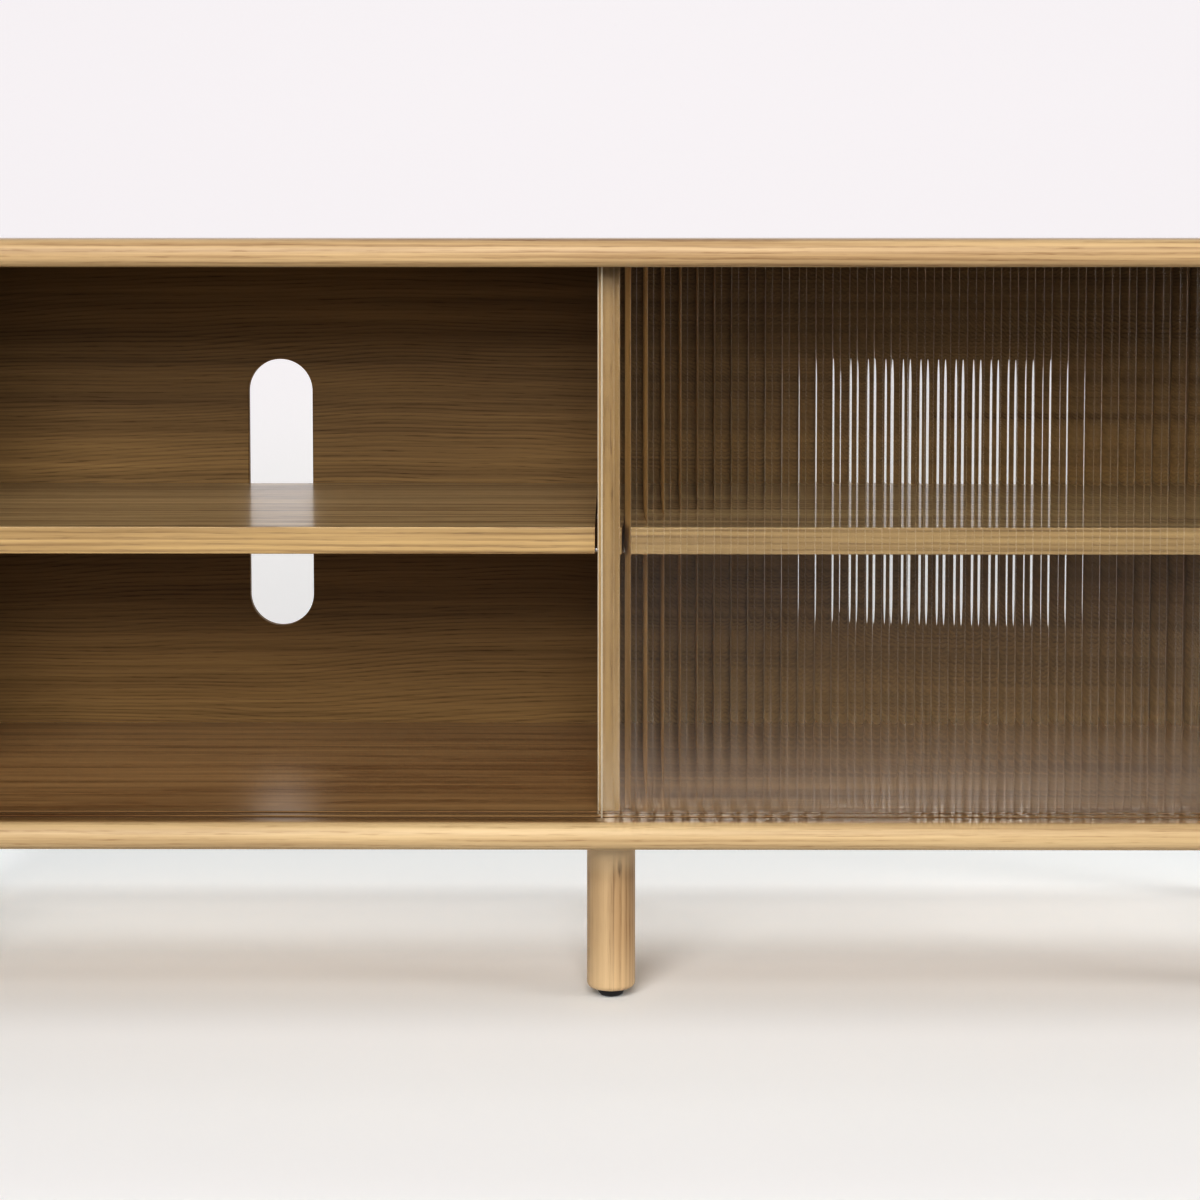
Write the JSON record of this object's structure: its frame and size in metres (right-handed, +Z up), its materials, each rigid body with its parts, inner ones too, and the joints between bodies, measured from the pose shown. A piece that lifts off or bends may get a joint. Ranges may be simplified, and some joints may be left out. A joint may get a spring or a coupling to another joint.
{
  "type": "media cabinet",
  "caption": "Low oak media cabinet on round legs, with shelves, cable slots and sliding reeded-glass doors.",
  "frame": {"origin": "on the floor, under the middle of the cabinet's width and depth", "axes": "+X along the width to the right seen from the front, +Y from the front to the back, +Z up"},
  "size_m": [1.16, 0.4, 0.562],
  "materials": {
    "oak_panel": "satin lacquered oak veneer",
    "oak_leg": "satin lacquered solid oak",
    "reeded_glass": "clear reeded glass with polished edges",
    "black_nylon": "moulded",
    "runner_nylon": "extruded",
    "zinc_steel": "zinc plated",
    "birch": "unfinished birch"
  },
  "bodies": {
    "cabinet": {"back_panel": "oak_panel", "back_screw_bottom_left": "zinc_steel", "back_screw_bottom_right": "zinc_steel", "back_screw_divider_lower": "zinc_steel", "back_screw_divider_upper": "zinc_steel", "back_screw_end_left": "zinc_steel", "back_screw_end_right": "zinc_steel", "back_screw_top_left": "zinc_steel", "back_screw_top_right": "zinc_steel", "bottom_panel": "oak_panel", "centre_divider": "oak_panel", "corner_spline_bottom_left": "birch", "corner_spline_bottom_right": "birch", "corner_spline_top_left": "birch", "corner_spline_top_right": "birch", "divider_dowel_bottom_front": "birch", "divider_dowel_bottom_rear": "birch", "divider_dowel_top_front": "birch", "divider_dowel_top_rear": "birch", "glide_front_centre": "black_nylon", "glide_front_left": "black_nylon", "glide_front_right": "black_nylon", "glide_rear_centre": "black_nylon", "glide_rear_left": "black_nylon", "glide_rear_right": "black_nylon", "hanger_bolt_front_centre": "zinc_steel", "hanger_bolt_front_left": "zinc_steel", "hanger_bolt_front_right": "zinc_steel", "hanger_bolt_rear_centre": "zinc_steel", "hanger_bolt_rear_left": "zinc_steel", "hanger_bolt_rear_right": "zinc_steel", "leg_front_centre": "oak_leg", "leg_front_left": "oak_leg", "leg_front_right": "oak_leg", "leg_insert_front_centre": "zinc_steel", "leg_insert_front_left": "zinc_steel", "leg_insert_front_right": "zinc_steel", "leg_insert_rear_centre": "zinc_steel", "leg_insert_rear_left": "zinc_steel", "leg_insert_rear_right": "zinc_steel", "leg_rear_centre": "oak_leg", "leg_rear_left": "oak_leg", "leg_rear_right": "oak_leg", "runner_front": "runner_nylon", "runner_rear": "runner_nylon", "shelf_left": "oak_panel", "shelf_pin_left_inner_front": "zinc_steel", "shelf_pin_left_inner_rear": "zinc_steel", "shelf_pin_left_outer_front": "zinc_steel", "shelf_pin_left_outer_rear": "zinc_steel", "shelf_pin_right_inner_front": "zinc_steel", "shelf_pin_right_inner_rear": "zinc_steel", "shelf_pin_right_outer_front": "zinc_steel", "shelf_pin_right_outer_rear": "zinc_steel", "shelf_right": "oak_panel", "side_panel_left": "oak_panel", "side_panel_right": "oak_panel", "top_panel": "oak_panel"},
    "left_door": {"glass_door_left": "reeded_glass"},
    "right_door": {"glass_door_right": "reeded_glass"}
  },
  "joints": [
    {"name": "right_door_slide", "type": "slide", "parent": "cabinet", "child": "right_door", "axis": [1, 0, 0], "range_m": [-0.5515, 0]},
    {"name": "left_door_slide", "type": "slide", "parent": "cabinet", "child": "left_door", "axis": [1, 0, 0], "range_m": [-0.549, 0.0025]}
  ]
}
